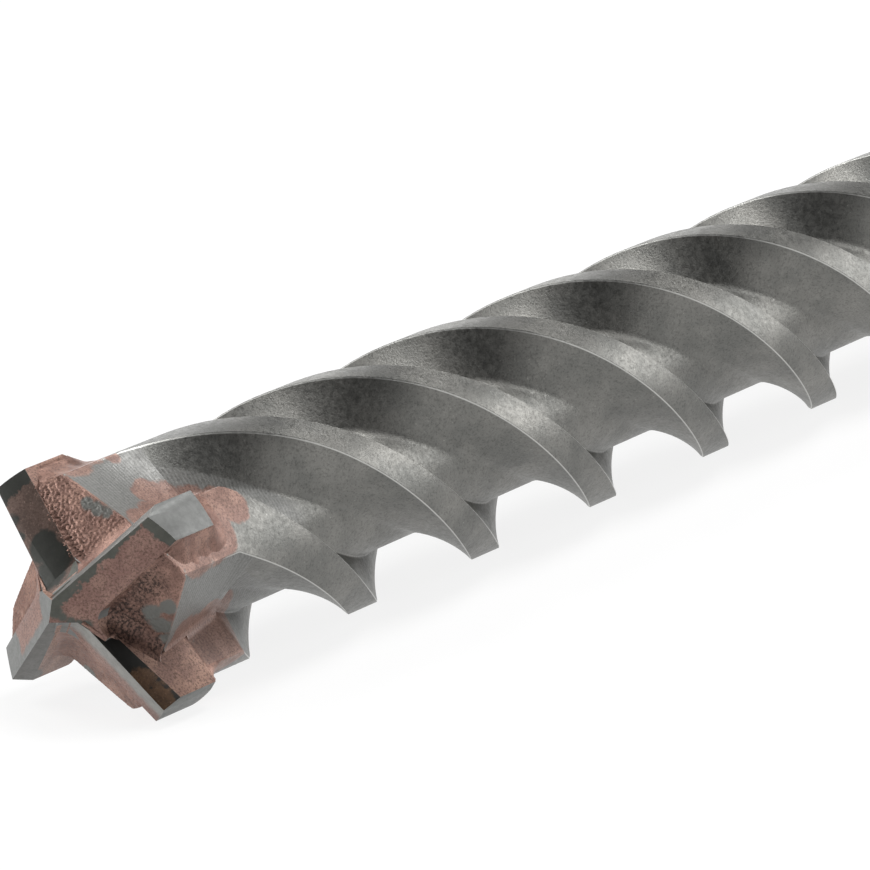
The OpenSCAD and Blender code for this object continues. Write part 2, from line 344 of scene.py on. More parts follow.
# %% Sizes of the flute's section
LAND_DEG, LAND_FLARE, FLANK_DEG = 21.7, 17.2, 27
FLANK_R, FOOT_R, EDGE_BREAK = 2.5, 0.9, 0.14
TURN_STATION, FLARE_END, RUNOUT = 15.6, 32, 24
RELIEF_EDGE, RELIEF_END, RELIEF_HIGH, RELIEF_LOW = 28, 13.8, 7.2, 6.2
LAND_STEPS, CORNER_STEPS, CORE_STEPS, WALL_STEPS = 9, 6, 13, 5
LEAD_DEG = math.degrees(math.asin(ARM_LEAD / LAND_R))
BREAK_DEG = math.degrees(EDGE_BREAK / LAND_R)
WALL_TOP = Vector((ARM_LEAD, -math.sqrt((LAND_R - EDGE_BREAK) ** 2 - ARM_LEAD ** 2)))
print("a land's leading corner lies", round(LEAD_DEG, 2), "degrees before its arm")

# %% Plane geometry
SHORT_SIDE = 0.45


def polar(r, degrees):
    """A point of the plane at a radius and an angle."""
    return Vector((r * math.cos(math.radians(degrees)), r * math.sin(math.radians(degrees))))


def heading(p):
    """Angle of a point of the plane, in degrees."""
    return math.degrees(math.atan2(p.y, p.x))


def line(a, b, steps):
    """Points from a to b, without a itself."""
    return [a.lerp(b, i / steps) for i in range(1, steps + 1)]


def rounded(before, corner, after, radius):
    """The arc that rounds a corner, with a smaller radius where a side is too short."""
    u, v = (before - corner).normalized(), (after - corner).normalized()
    half = u.angle(v) / 2
    reach = min(radius / math.tan(half), SHORT_SIDE * min((before - corner).length, (after - corner).length))
    centre = corner + (u + v).normalized() * reach / math.cos(half)
    start, end = corner + u * reach - centre, corner + v * reach - centre
    turn = math.atan2(start.x * end.y - start.y * end.x, start.dot(end))
    return [centre + Matrix.Rotation(turn * i / CORNER_STEPS, 2) @ start for i in range(CORNER_STEPS + 1)]


print("an arc takes at most", SHORT_SIDE, "of a short side")

# %% [markdown]
# A quarter of the section is a land and the hollow behind it. Near the head the hollow has straight
# walls, which the milling cutter left. Behind them it is the flute proper: a flank that leans back, the
# round core, and a small radius at the foot of the next land.

# %% A quarter of the section
CORE_POINTS, BEND_BEFORE, CORNER_AFTER = 40, 12, 36


def trailing_edge(station):
    """Angle of a land's rear corner from its arm's radial line."""
    flare = (max(0, FLARE_END - station) / (FLARE_END - TURN_STATION)) ** 2
    return LEAD_DEG - LAND_DEG - LAND_FLARE * flare


def land(trail):
    """The top of a land, with both corners broken as blasting leaves them."""
    first, last = LEAD_DEG - BREAK_DEG, trail + BREAK_DEG
    steps = LAND_STEPS - 2
    top = [polar(LAND_R, first + (last - first) * i / steps) for i in range(steps + 1)]
    return [polar(LAND_R - EDGE_BREAK, LEAD_DEG)] + top + [polar(LAND_R - EDGE_BREAK, trail)]


def straight_sector(station):
    """A land and the milled face behind it, in the part with straight walls."""
    back = max(0, station - RELIEF_END) / (TURN_STATION - RELIEF_END)
    trail = -RELIEF_EDGE + (trailing_edge(TURN_STATION) + RELIEF_EDGE) * back
    edge = polar(LAND_R, trail)
    depth = (station - HEAD_DEPTH) / (TURN_STATION - HEAD_DEPTH)
    foot = Vector((ARM_LEAD, -(RELIEF_HIGH + (RELIEF_LOW - RELIEF_HIGH) * depth)))
    corner = rounded(edge, foot, WALL_TOP, FOOT_R)
    return land(trail) + line(edge, corner[0], CORNER_STEPS + CORE_STEPS) + corner[1:]


def helix_sector(station):
    """A land and the flute behind it."""
    trail = trailing_edge(station)
    edge = polar(LAND_R, trail)
    inward = polar(1, trail + 180 + FLANK_DEG)
    along = edge.dot(inward)
    toe = edge - inward * (along + math.sqrt(max(0, along ** 2 - LAND_R ** 2 + CORE_R ** 2)))
    foot = Vector((ARM_LEAD, -math.sqrt(CORE_R ** 2 - ARM_LEAD ** 2)))
    a, b = heading(toe), heading(foot)
    core = [polar(CORE_R, a + (b - a) * i / CORE_POINTS) for i in range(CORE_POINTS + 1)]
    bend = rounded(edge, toe, core[BEND_BEFORE], FLANK_R)
    corner = rounded(core[CORNER_AFTER], foot, WALL_TOP, FOOT_R)
    c, d = heading(bend[-1]), heading(corner[0])
    r_c, r_d = bend[-1].length, corner[0].length
    floor_arc = [polar(r_c + (r_d - r_c) * i / (CORE_STEPS - 1), c + (d - c) * i / (CORE_STEPS - 1))
                 for i in range(1, CORE_STEPS)]
    return land(trail) + bend + floor_arc + corner[1:]


print("a land is", round(math.radians(LAND_DEG) * LAND_R, 1), "mm wide behind the head")

# %% Rings and skins


def ring(station, grow=0):
    """All points of one section, in metres, clockwise as seen from the tip."""
    sector = straight_sector(station) if station < TURN_STATION else helix_sector(station)
    sector = sector + line(sector[-1], WALL_TOP, WALL_STEPS)[:-1]
    share = 1 - (max(0, station - FLUTED + RUNOUT) / RUNOUT) ** 2
    turn = -360 * max(0, station - TURN_STATION) / LEAD
    points = []
    for k in range(FLUTES):
        for p in sector:
            p = p * ((LAND_R - (LAND_R - p.length) * share + grow) / p.length)
            q = Matrix.Rotation(math.radians(turn - k * SECTOR), 2) @ p
            points.append(place(q.x, q.y, -station))
    return points


def circle_ring(station, radius, size):
    """A round section with as many points as the fluted ones."""
    turn = -360 * (FLUTED - TURN_STATION) / LEAD
    return [place(*polar(radius, turn + LEAD_DEG - 360 * i / size), -station) for i in range(size)]


def loft(name, rings):
    """A closed skin over rings of equal length, from the front one to the rear one."""
    size = len(rings[0])
    faces = [list(range(size))[::-1]]
    for j in range(len(rings) - 1):
        for i in range(size):
            a, b = j * size + i, j * size + (i + 1) % size
            faces.append([a, b, b + size, a + size])
    faces.append([(len(rings) - 1) * size + i for i in range(size)])
    obj = mesh_object(name, [p for one in rings for p in one], faces)
    outward(obj)
    return obj


print("points in a ring:", len(ring(TURN_STATION)))

# %% Loft the bar
RING_STEP, SHANK_MIDDLE = 0.8, 250
HEAD_TOP, BLEND = 2.2, 0.25
HEAD_STATIONS = (HEAD_TOP, 6, 10, RELIEF_END, RELIEF_END + 0.7, TURN_STATION - BLEND)
SHANK_START = FLUTED + COLLAR_LEN + CONE_LEN
END_BEVEL, CORNER_EASE = 1.5, 0.3
helix_start = TURN_STATION + BLEND
helix_steps = round((FLUTED - helix_start) / RING_STEP)
rings = [ring(s) for s in HEAD_STATIONS]
rings += [ring(helix_start + (FLUTED - helix_start) * i / helix_steps) for i in range(helix_steps + 1)]
collar_end, bevel_start, slight = FLUTED + COLLAR_LEN, OVERALL - END_BEVEL, CORNER_EASE / 4
rings += [circle_ring(s, r, len(rings[0])) for s, r in (
    (FLUTED + CORNER_EASE, COLLAR_R), (collar_end - CORNER_EASE, COLLAR_R),
    (collar_end + CORNER_EASE, COLLAR_R - slight), (SHANK_START - CORNER_EASE, SHANK_R + slight),
    (SHANK_START + CORNER_EASE, SHANK_R), (SHANK_MIDDLE, SHANK_R), (bevel_start - CORNER_EASE, SHANK_R),
    (bevel_start, SHANK_R - slight), (OVERALL, SHANK_R - END_BEVEL))]
body = loft("steel_body", rings)
print("steel bar:", face_count(body), "faces in", len(rings), "rings")

# %% [markdown]
# The head of the bar is then cut as the real one is: a cross-shaped slot for the carbide, and a steel
# shoulder that slopes down behind each arm to the wall of the next. Each cut is a Boolean with a simple
# cutter, which starts as a primitive.

# %% Cut the shoulders
SHOULDER_FALL = 7
SHOULDER_SLOPE, SHOULDER_DROP = (33.5, 27.5), (1.8, 2.4)
CUTTER_REACH, CUTTER_TOP = 16, 2


def shoulder_height(u, v, arm):
    """Height of the steel shoulder behind an arm, at a point of the arm's frame."""
    kind = arm % 2
    across = tangent(SHOULDER_SLOPE[kind]) / math.cos(math.radians(SHOULDER_FALL))
    return -SHOULDER_DROP[kind] - u * tangent(SHOULDER_FALL) + v * across


for arm in range(FLUTES):
    bpy.ops.object.select_all(action="DESELECT")
    bpy.ops.mesh.primitive_cube_add(size=1)
    cutter = bpy.context.object
    for vertex in cutter.data.vertices:
        u = CUTTER_REACH if vertex.co.x > 0 else 0
        v = 0 if vertex.co.y > 0 else -CUTTER_REACH
        w = CUTTER_TOP if vertex.co.z > 0 else shoulder_height(u, v, arm)
        vertex.co = place(u, v, w, arm)
    outward(cutter)
    cut_with(body, cutter)
print("steel body with its shoulders:", face_count(body), "faces")

# %% Cut the seat
OVER, WEB_SEGMENTS = 1, 10
side, back, reach = ARM_LEAD + BRAZE_GAP, ARM_TRAIL + BRAZE_GAP, CUTTER_REACH
outline = [place(u, v, OVER, arm) for arm in range(FLUTES)
           for u, v in ((reach, side), (reach, -back), (side, -back))]
seat = mesh_object("seat_cutter", outline, [list(range(len(outline)))])
extrude_all(seat, ((HEAD_DEPTH + BRAZE_GAP + OVER) * MM, 0, 0))
only(seat)
bpy.ops.object.mode_set(mode="EDIT")
bpy.ops.mesh.select_all(action="DESELECT")
bpy.ops.object.mode_set(mode="OBJECT")
inner = 1.5 * math.hypot(side, back) * MM
for edge in seat.data.edges:
    ends = [seat.data.vertices[i].co for i in edge.vertices]
    edge.select = all(math.hypot(p.y, p.z) < inner for p in ends) and abs(ends[0].x - ends[1].x) > MM
bpy.ops.object.mode_set(mode="EDIT")
bpy.ops.mesh.bevel(offset=(WEB_R - BRAZE_GAP) * MM, segments=WEB_SEGMENTS, affect="EDGES",
                   clamp_overlap=False)
bpy.ops.object.mode_set(mode="OBJECT")
cut_with(body, seat)
print("steel body with its seat:", face_count(body), "faces")

# %% [markdown]
# At the other end the shank has three drive grooves that are open at the rear, two closed grooves for
# the locking balls, and the small cone that it was turned on.

# %% Cut the shank's grooves
DRIVE_W, DRIVE_DEPTH, DRIVE_LEN, DRIVE_CUTTER_R, DRIVE_ANGLE = 5, 2.8, 50, 22, 142
GROOVE_TURN = -43
LOCK_R, LOCK_DEPTH, LOCK_POS, LOCK_LEN = 4.4, 2.6, 34, 20
CENTRE_R, CENTRE_DEPTH = 2.5, 4.33
ARC_STEPS, ROUND_STEPS = 12, 48


def groove_frame(radius, across, behind_end, degrees):
    """A point beside a groove: distance from the axis, along the girth, and before the struck end."""
    turned = Matrix.Rotation(math.radians(GROOVE_TURN + degrees), 2) @ Vector((radius, across))
    return place(turned.x, turned.y, behind_end - OVERALL)


def drive_cutter(degrees):
    """A groove that is open at the struck end and rises in an arc at its front."""
    floor_r = SHANK_R - DRIVE_DEPTH
    run = math.sqrt(DRIVE_CUTTER_R ** 2 - (DRIVE_CUTTER_R - DRIVE_DEPTH) ** 2)
    rise = math.asin(run / DRIVE_CUTTER_R)
    profile = [(floor_r, -OVER)]
    for i in range(ARC_STEPS + 1):
        turn = rise * i / ARC_STEPS
        profile.append((floor_r + DRIVE_CUTTER_R * (1 - math.cos(turn)),
                        DRIVE_LEN - run + DRIVE_CUTTER_R * math.sin(turn)))
    profile += [(SHANK_R + 2 * OVER, DRIVE_LEN), (SHANK_R + 2 * OVER, -OVER)]
    sides = [[groove_frame(r, y, s, degrees) for r, s in profile] for y in (-DRIVE_W / 2, DRIVE_W / 2)]
    return loft("drive_cutter", sides)


def lock_cutter(degrees):
    """A ball that is drawn out to a groove with round ends."""
    bpy.ops.object.select_all(action="DESELECT")
    bpy.ops.mesh.primitive_uv_sphere_add(segments=ROUND_STEPS, ring_count=ROUND_STEPS // 2, radius=LOCK_R)
    cutter = bpy.context.object
    for vertex in cutter.data.vertices:
        x, y, z = vertex.co
        shift = math.copysign(LOCK_LEN / 2, z) if abs(z) > 0.01 else 0
        vertex.co = groove_frame(SHANK_R - LOCK_DEPTH + LOCK_R + x, y, LOCK_POS + z + shift, degrees)
    outward(cutter)
    return cutter


for degrees in (0, DRIVE_ANGLE, -DRIVE_ANGLE):
    cut_with(body, drive_cutter(degrees))
for degrees in (90, -90):
    cut_with(body, lock_cutter(degrees))
print("shank with its grooves:", face_count(body), "faces")

# %% Cut the centre hole
bpy.ops.object.select_all(action="DESELECT")
bpy.ops.mesh.primitive_cone_add(vertices=ROUND_STEPS, radius1=CENTRE_R, radius2=0, depth=CENTRE_DEPTH)
cone = bpy.context.object
for vertex in cone.data.vertices:
    vertex.co = place(vertex.co.x, vertex.co.y, -OVERALL + vertex.co.z + CENTRE_DEPTH / 2 - 0.01)
outward(cone)
cut_with(body, cone)
only(body)
bpy.ops.object.shade_smooth_by_angle(angle=math.radians(30))
print("finished steel body:", face_count(body), "faces")

# %% [markdown]
# ## Carbide cross
#
# The cross is pressed from tungsten carbide powder, sintered, and ground at its ends after brazing. The
# solid has its exact form, so its copy is kept, and only the edges are eased, as honing leaves them. At
# the middle, the grinding wheel left a hollow ramp between each main arm and the lower side arm.

# %% Carbide cross from the solid
EDGE_EASE = 0.1
MAIN_SLOPE, SIDE_SLOPE, SIDE_DROP, RELIEF_DEG = 18.2, 11.2, 1.7, 26


def copy_of_node(name, new_name):
    """A closed mesh with the shape of a solid's node, whose own mesh is loose triangles."""
    obj = bpy.data.objects.new(new_name, frame["nodes"][name].data.copy())
    bpy.context.collection.objects.link(obj)
    only(obj)
    bpy.ops.object.mode_set(mode="EDIT")
    bpy.ops.mesh.select_all(action="SELECT")
    bpy.ops.mesh.remove_doubles(threshold=0.002 * MM)
    bpy.ops.mesh.dissolve_limited(angle_limit=math.radians(1))
    bpy.ops.object.mode_set(mode="OBJECT")
    return obj


def relief_height(u, v, arm):
    """Height of the ground clearance face on an arm."""
    slope = SIDE_SLOPE if arm % 2 else MAIN_SLOPE
    drop = SIDE_DROP if arm % 2 else 0
    return -drop - u * tangent(slope) + v * tangent(RELIEF_DEG) / math.cos(math.radians(slope))


carbide = copy_of_node("carbide_head", "carbide_cross")
HONED = 1
for _ in range(HONED + 1):
    carbide.data.materials.append(None)
apply_modifier(carbide, "BEVEL", width=EDGE_EASE * MM, segments=2, limit_method="ANGLE",
               angle_limit=math.radians(18), harden_normals=True, material=HONED)
honed_faces = [face.index for face in carbide.data.polygons if face.material_index == HONED]
print("carbide cross:", face_count(carbide), "faces, on its honed edges:", len(honed_faces))

# %% [markdown]
# ## Copper crust
#
# Copper was melted between the steel and the carbide, in a furnace. It crept over the shoulders, froze
# there in beads and worm-like ridges, and left a smooth hollow fillet along the arms' walls. A flat
# layer would miss both, so each patch starts as a fine grid on its shoulder. Every point is lifted by
# the fillet's profile and by noise, and the sheet is extruded to a slab and trimmed to the head's outline.

# %% Height of the crust
GRID_STEP = 0.1
CRUST_LIFT, CRUST_DEPTH = 0.05, 0.22
FILLET_LEAD, FILLET_TRAIL = 1.7, 0.45
BEAD_SIZE, BEAD_HEIGHT, FINE_HEIGHT = 0.21, 0.17, 0.07
BEAD_SHARE = (0.8, 0.35, 0.35, 1.0)
FINER, SMOOTH_REACH, SEAM_REACH = 2.3, 0.9, 1.3


def fillet(distance, radius):
    """Height of a hollow fillet at a distance from its wall."""
    gap = max(0, min(distance, radius))
    return radius - math.sqrt(radius ** 2 - (radius - gap) ** 2)


def beads(u, v, seed, strength):
    """Height of the frozen copper beads, largest near the seam."""
    coarse = noise.noise(Vector((u / BEAD_SIZE, v / BEAD_SIZE, seed)))
    fine = noise.noise(Vector((u / BEAD_SIZE * FINER, v / BEAD_SIZE * FINER, seed + 7)))
    lump = max(0, coarse + 0.25) * (1 - abs(fine) * 0.6)
    return strength * BEAD_HEIGHT * lump + FINE_HEIGHT * fine


def crust_height(u, v, arm):
    """Top of the copper over the shoulder behind an arm."""
    to_lead, to_trail = u - ARM_LEAD, -v - ARM_TRAIL
    if u < ARM_LEAD + WEB_R and -v < ARM_TRAIL + WEB_R:
        from_web = WEB_R - math.hypot(ARM_LEAD + WEB_R - u, ARM_TRAIL + WEB_R + v)
        to_lead, to_trail = max(to_lead, from_web), from_web
    smooth = min(1, max(0.05, (to_lead - SMOOTH_REACH) / SMOOTH_REACH)) * BEAD_SHARE[arm]
    near_seam = 0.4 + 1.2 * math.exp(-(max(0, to_trail) / SEAM_REACH) ** 2)
    height = shoulder_height(u, v, arm) + CRUST_LIFT
    room = relief_height(u, -ARM_TRAIL, arm) - shoulder_height(u, -ARM_TRAIL, arm) - 2 * CRUST_LIFT
    height += fillet(to_lead, FILLET_LEAD) + min(fillet(to_trail, FILLET_TRAIL), max(0, room))
    return height + beads(u, v, 13 * arm + 3, smooth * near_seam)


print("crust beside the upper arm, mm below the tip:", round(-crust_height(3, -5, 0), 2))

# %% Copper on the shoulders
TRIM_SKIN = 0.03
patches = []
low_u, high_u, low_v, high_v = ARM_LEAD - 0.25, LAND_R + 0.4, -LAND_R - 0.4, -ARM_TRAIL + 0.25
for arm in range(FLUTES):
    bpy.ops.object.select_all(action="DESELECT")
    bpy.ops.mesh.primitive_grid_add(x_subdivisions=round((high_u - low_u) / GRID_STEP),
                                    y_subdivisions=round((high_v - low_v) / GRID_STEP), size=1)
    patch = bpy.context.object
    for vertex in patch.data.vertices:
        u = low_u + (high_u - low_u) * (vertex.co.x + 0.5)
        v = low_v + (high_v - low_v) * (vertex.co.y + 0.5)
        vertex.co = place(u, v, crust_height(u, v, arm), arm)
    extrude_all(patch, ((CRUST_LIFT + CRUST_DEPTH) * MM, 0, 0))
    trim = loft("head_trim", [ring(s, TRIM_SKIN) for s in (1, 6, 10, RELIEF_END)])
    cut_with(patch, trim, "INTERSECT")
    patches.append(patch)
    print("copper behind arm", arm, "has", face_count(patch), "faces")

# %% Ramps over the side arms
RAMP_DEPTH, RAMP_SINK, RAMP_BELOW = 0.5, 0.3, 0.05
ramps = []
for arm in (0, 2):
    bpy.ops.object.select_all(action="DESELECT")
    bpy.ops.mesh.primitive_grid_add(x_subdivisions=28, y_subdivisions=20, size=1)
    ramp = bpy.context.object
    for vertex in ramp.data.vertices:
        u = -EDGE_OFFSET + (ARM_TRAIL + EDGE_OFFSET) * (vertex.co.x + 0.5)
        v = ARM_LEAD - RAMP_SINK + (FILLET_LEAD + RAMP_SINK) * (vertex.co.y + 0.5)
        height = relief_height(v, -u, 1) + fillet(v - ARM_LEAD, FILLET_LEAD)
        opposite = relief_height(-u, -v, 0)
        vertex.co = place(u, v, min(height, opposite - RAMP_BELOW), arm)
    extrude_all(ramp, (RAMP_DEPTH * MM, 0, 0))
    ramps.append(ramp)
print("ramps:", len(ramps), "with", face_count(ramps[0]), "faces each")

# %% [markdown]
# At the foot of each carbide arm the copper ran out of the slot and froze as a collar, highest at the
# seam and torn at its border. Each collar is a bent sheet over the land that thins out to nothing.

# %% Collars at the carbide's feet
FOOT_RISE, FOOT_RUN, FOOT_SIDE, EDGE_ROUND = 1.5, 2.8, 2.0, 0.6
FOOT_TOP, FOOT_FADE, FOOT_LEAN, FOOT_HOLLOW = 0.3, 1.2, 1.2, 2.7
TORN_SHARE, TORN_MM, EDGE_FALL, FOOT_SINK = 0.35, 1.1, 0.7, 0.03
for arm in range(FLUTES):
    bpy.ops.object.select_all(action="DESELECT")
    bpy.ops.mesh.primitive_grid_add(x_subdivisions=40, y_subdivisions=60, size=1)
    foot = bpy.context.object
    for vertex in foot.data.vertices:
        v = ARM_LEAD - 0.02 - (ARM_LEAD + ARM_TRAIL + FOOT_SIDE) * (0.5 - vertex.co.x)
        beside = min(v, -ARM_TRAIL)
        top = shoulder_height(LAND_R, beside, arm) - FOOT_TOP - (v - beside) * FOOT_LEAN
        rear = -HEAD_DEPTH - FOOT_RUN
        w = rear + (top - rear) * (vertex.co.y + 0.5)
        torn = 1 + TORN_SHARE * noise.noise(Vector((v / TORN_MM, w / TORN_MM, arm + 31)))
        away = math.hypot((-ARM_TRAIL - beside) / FOOT_SIDE, max(0, -HEAD_DEPTH - w) / FOOT_RUN) * torn
        past_edge = max(0, v - ARM_LEAD + EDGE_ROUND) / EDGE_ROUND
        fade = min(1, (top - w) / FOOT_FADE)
        rise = FOOT_RISE * max(0, 1 - away) ** FOOT_HOLLOW * (1 - EDGE_FALL * past_edge ** 3) * fade
        r = LAND_R - FOOT_SINK + rise
        vertex.co = place(math.sqrt(r * r - v * v), v, w, arm)
    extrude_all(foot, place(-0.5, 0, 0, arm) - place(0, 0, 0, arm))
    patches.append(foot)
print("collars:", FLUTES, "with", face_count(foot), "faces each")

# %% Join the copper
carbide = join([carbide] + ramps, "carbide_cross")
only(carbide)
bpy.ops.object.shade_smooth_by_angle(angle=math.radians(25))
patches.append(copy_of_node("braze_joint", "braze_layer"))
crust = join(patches, "copper_crust")
only(crust)
bpy.ops.object.shade_smooth_by_angle(angle=math.radians(40))
print("copper crust:", face_count(crust), "faces")

# %% [markdown]
# ## Materials
#
# Three metals meet at the head, and the copper stained the other two. All patterns read Object
# coordinates in millimetres, so that a grain of 0.2 mm is 0.2 mm on every piece. A look is built up as on
# the real surface: a base tone first, and then one layer after another, each where its mask says.

# %% Layer helpers


def in_mm(tree):
    """Object coordinates in millimetres."""
    point = add_node(tree, "TexCoord").outputs["Object"]
    return add_node(tree, "VectorMath", {"operation": "SCALE"}, _0=point, Scale=1 / MM)


def tint(tree, base, over, value, low, high, strength=1):
    """Lays a second colour over a base where a value runs from low to high."""
    share = add_node(tree, "MapRange", SMOOTH, Value=value, From_Min=low, From_Max=high, To_Max=strength)
    return add_node(tree, "Mix", COLOURS, _0=share, _6=base, _7=over)


def lay_over(tree, base, over, mask, strength):
    """Lays a second colour over a base inside a mask, at a part of its full strength."""
    share = add_node(tree, "Math", MULTIPLY, _0=mask, _1=strength)
    return add_node(tree, "Mix", COLOURS, _0=share, _6=base, _7=over)


def finish_metal(tree, colour, rough, metallic, height, strength, depth):
    """Joins the layers to one surface, with bumps whose depth is in millimetres."""
    bump = add_node(tree, "Bump", Strength=strength, Distance=depth * MM, Height=height)
    surface = add_node(tree, "BsdfPrincipled", Base_Color=colour, Roughness=rough, Metallic=metallic,
                       Normal=bump)
    add_node(tree, "OutputMaterial", Surface=surface)


print("patterns are scaled by", round(1 / MM), "from metres to millimetres")

# %% [markdown]
# A stain is a few round spots, given in an arm's frame, or all that lies below one coordinate of it.
# Noise pulls its outline about, as a melt creeps further in one place than in the next. A picture of the
# stains would look right from one side only, and these masks hold from every side.

# %% Masks of stains
SWING = 4


def torn_mask(tree, position, value, edge, soft, wobble, wave, detail):
    """1 where a value is under an edge, whose border is torn by noise with a wave in millimetres."""
    waves = add_node(tree, "TexNoise", Vector=position, Scale=1 / wave, Detail=detail, Roughness=0.6)
    torn = add_node(tree, "Math", SUBTRACT, _0=waves, _1=0.5)
    pull = add_node(tree, "Math", MULTIPLY, _0=torn, _1=wobble * SWING)
    border = add_node(tree, "Math", ADD, _0=value, _1=pull)
    return add_node(tree, "MapRange", SMOOTH, Value=border, From_Min=edge + soft, From_Max=edge - soft)


def spots_mask(tree, position, spots, wobble=0.8, wave=1.3, soft=0.2):
    """1 inside any of the spots (u, v, w, arm, radius), with a torn edge."""
    nearest = None
    for u, v, w, arm, radius in spots:
        centre = place(u, v, w, arm) / MM
        away = add_node(tree, "VectorMath", {"operation": "DISTANCE"}, _0=position, _1=centre)
        away = add_node(tree, "Math", SUBTRACT, _0=away, _1=radius)
        nearest = away if nearest is None else add_node(tree, "Math", SMALLER, _0=nearest, _1=away)
    return torn_mask(tree, position, nearest, 0, soft, wobble, wave, detail=4)


def arm_axis(tree, position, arm, axis):
    """One coordinate of a point in an arm's frame, in millimetres: axis 0 is u, 1 is v and 2 is w."""
    unit = [0, 0, 0]
    unit[axis] = 1
    way = (place(*unit, arm) - place(0, 0, 0, arm)) / MM
    along = add_node(tree, "VectorMath", {"operation": "DOT_PRODUCT"}, _0=position, _1=way)
    return add_node(tree, "Math", ADD, _0=along, _1=TIP_X) if axis == 2 else along


def band_mask(arm, axis, edge, wobble=0.5, soft=0.12, wave=1.0):
    """A mask of what lies below a value of one arm coordinate, with a wavy border."""
    def mask(tree, position):
        value = arm_axis(tree, position, arm, axis)
        return torn_mask(tree, position, value, edge, soft, wobble, wave, detail=3)
    return mask


def inside(spots, wobble=0.5):
    """A mask of what lies in a group of spots."""
    def mask(tree, position):
        return spots_mask(tree, position, spots, wobble)
    return mask


def outside(spots, wobble=0.5):
    """A mask of what lies clear of a group of spots."""
    def mask(tree, position):
        return add_node(tree, "Math", SUBTRACT, _0=1, _1=spots_mask(tree, position, spots, wobble))
    return mask


def both(first, second):
    """A mask of what lies in two masks."""
    def mask(tree, position):
        return add_node(tree, "Math", MULTIPLY, _0=first(tree, position), _1=second(tree, position))
    return mask


print("a torn edge swings by up to", SWING / 2, "times its wobble")

# %% [markdown]
# The copper freezes bright where it is smooth and oxidises to a dark brown in its pits and far from the
# joint. So its colour follows slow patches and the fine grain, and the hollows of the mesh are darkened
# as painted shade. Behind the upper main arm the copper is darkened as painted shade, with dark and
# light flakes in it, and in a few places the steel shows through.

# %% Copper
GRAIN_MM, PATCH_MM, OXIDE_MM, SCALE_MM, GRIT_MM = 0.2, 2.2, 3.5, 0.26, 0.16
# Spots behind the upper main arm where the copper is darkened as painted shade, with flakes over it.
SHADE_AND_FLAKE_SPOTS = [(2.6, -4.2, -4.6, 0, 2.6), (6.5, -3.6, -5.0, 0, 1.6), (2.0, -7.5, -7.0, 0, 1.8)]
BARE_SPOTS = [(4.4, -5.2, -5.8, 0, 0.9), (5.7, -5.8, -6.3, 0, 0.8), (3.6, -6.3, -6.5, 0, 1.0),
              (2.6, -7.2, -7.0, 0, 0.6), (5.9, -5.5, -6.0, 3, 0.6), (5.0, -6.0, -6.2, 3, 0.6),
              (4.1, -6.5, -6.4, 3, 0.45), (4.4, -7.0, -6.2, 1, 0.8), (6.2, -6.9, -6.4, 1, 0.7)]


def copper_look(tree, position, bright="A98678", mid="8A6A5F", dark="5C453C"):
    """Colour of the furnace copper, and the fine grain that it follows."""
    patches = add_node(tree, "TexNoise", Vector=position, Scale=1 / PATCH_MM, Detail=3, Roughness=0.6)
    fine = add_node(tree, "TexNoise", Vector=position, Scale=1 / GRAIN_MM, Detail=3, Roughness=0.7)
    base = tint(tree, linear(mid), linear(bright), patches, 0.38, 0.66)
    base = tint(tree, base, linear(dark), fine, 0.52, 0.38, 0.62)
    return tint(tree, base, linear("C9A797"), fine, 0.6, 0.72, 0.4), fine


copper, tree = new_material("furnace_copper")
position = in_mm(tree)
colour, fine = copper_look(tree, position)
rough = add_node(tree, "MapRange", SMOOTH, Value=fine, From_Min=0.3, From_Max=0.7, To_Min=0.34, To_Max=0.6)
slow = add_node(tree, "TexNoise", Vector=position, Scale=1 / OXIDE_MM, Detail=2, Roughness=0.6)
oxide = add_node(tree, "MapRange", SMOOTH, Value=slow, From_Min=0.5, From_Max=0.68)
colour = lay_over(tree, colour, linear("5A4038"), oxide, 0.45)
# Painted shade: a dark tone behind the upper main arm, with dark and light flakes in it.
shade_and_flakes = spots_mask(tree, position, SHADE_AND_FLAKE_SPOTS, wobble=0.4, soft=1.2)
colour = lay_over(tree, colour, linear("38261F"), shade_and_flakes, 0.4)
flakes = add_node(tree, "TexNoise", Vector=position, Scale=1 / SCALE_MM, Detail=3, Roughness=0.6)
for flake_tone, low, high, strength in (("1D130F", 0.53, 0.42, 0.8), ("A07C6C", 0.56, 0.68, 0.5)):
    share = add_node(tree, "MapRange", SMOOTH, Value=flakes, From_Min=low, From_Max=high, To_Max=strength)
    colour = lay_over(tree, colour, linear(flake_tone), shade_and_flakes, share)
# Painted shade: the hollows of the mesh are darkened, as ambient occlusion would darken them.
hollow_shade = add_node(tree, "NewGeometry").outputs["Pointiness"]
colour = tint(tree, colour, linear("2A1B16"), hollow_shade, 0.5, 0.44)
bare = spots_mask(tree, position, BARE_SPOTS, wobble=0.35)
colour = add_node(tree, "Mix", COLOURS, _0=bare, _6=colour, _7=linear("6E6E6A"))
grit = add_node(tree, "TexNoise", Vector=position, Scale=1 / GRIT_MM, Detail=3, Roughness=0.6)
finish_metal(tree, colour, rough, 0.5, grit, strength=0.35, depth=0.06)
crust.data.materials.clear()
crust.data.materials.append(copper)
print("copper:", len(SHADE_AND_FLAKE_SPOTS), "burnt spots and", len(BARE_SPOTS), "bare ones")

# %% [markdown]
# Sintered carbide is a dark grey metal. Freshly ground it is a plain mid grey with fine scratches, and
# where the copper vapour reached it the faces wear a thin, wavy-edged copper skin.

# %% Carbide
CLOUD_MM, SCRATCH_MM = 0.9, 0.25


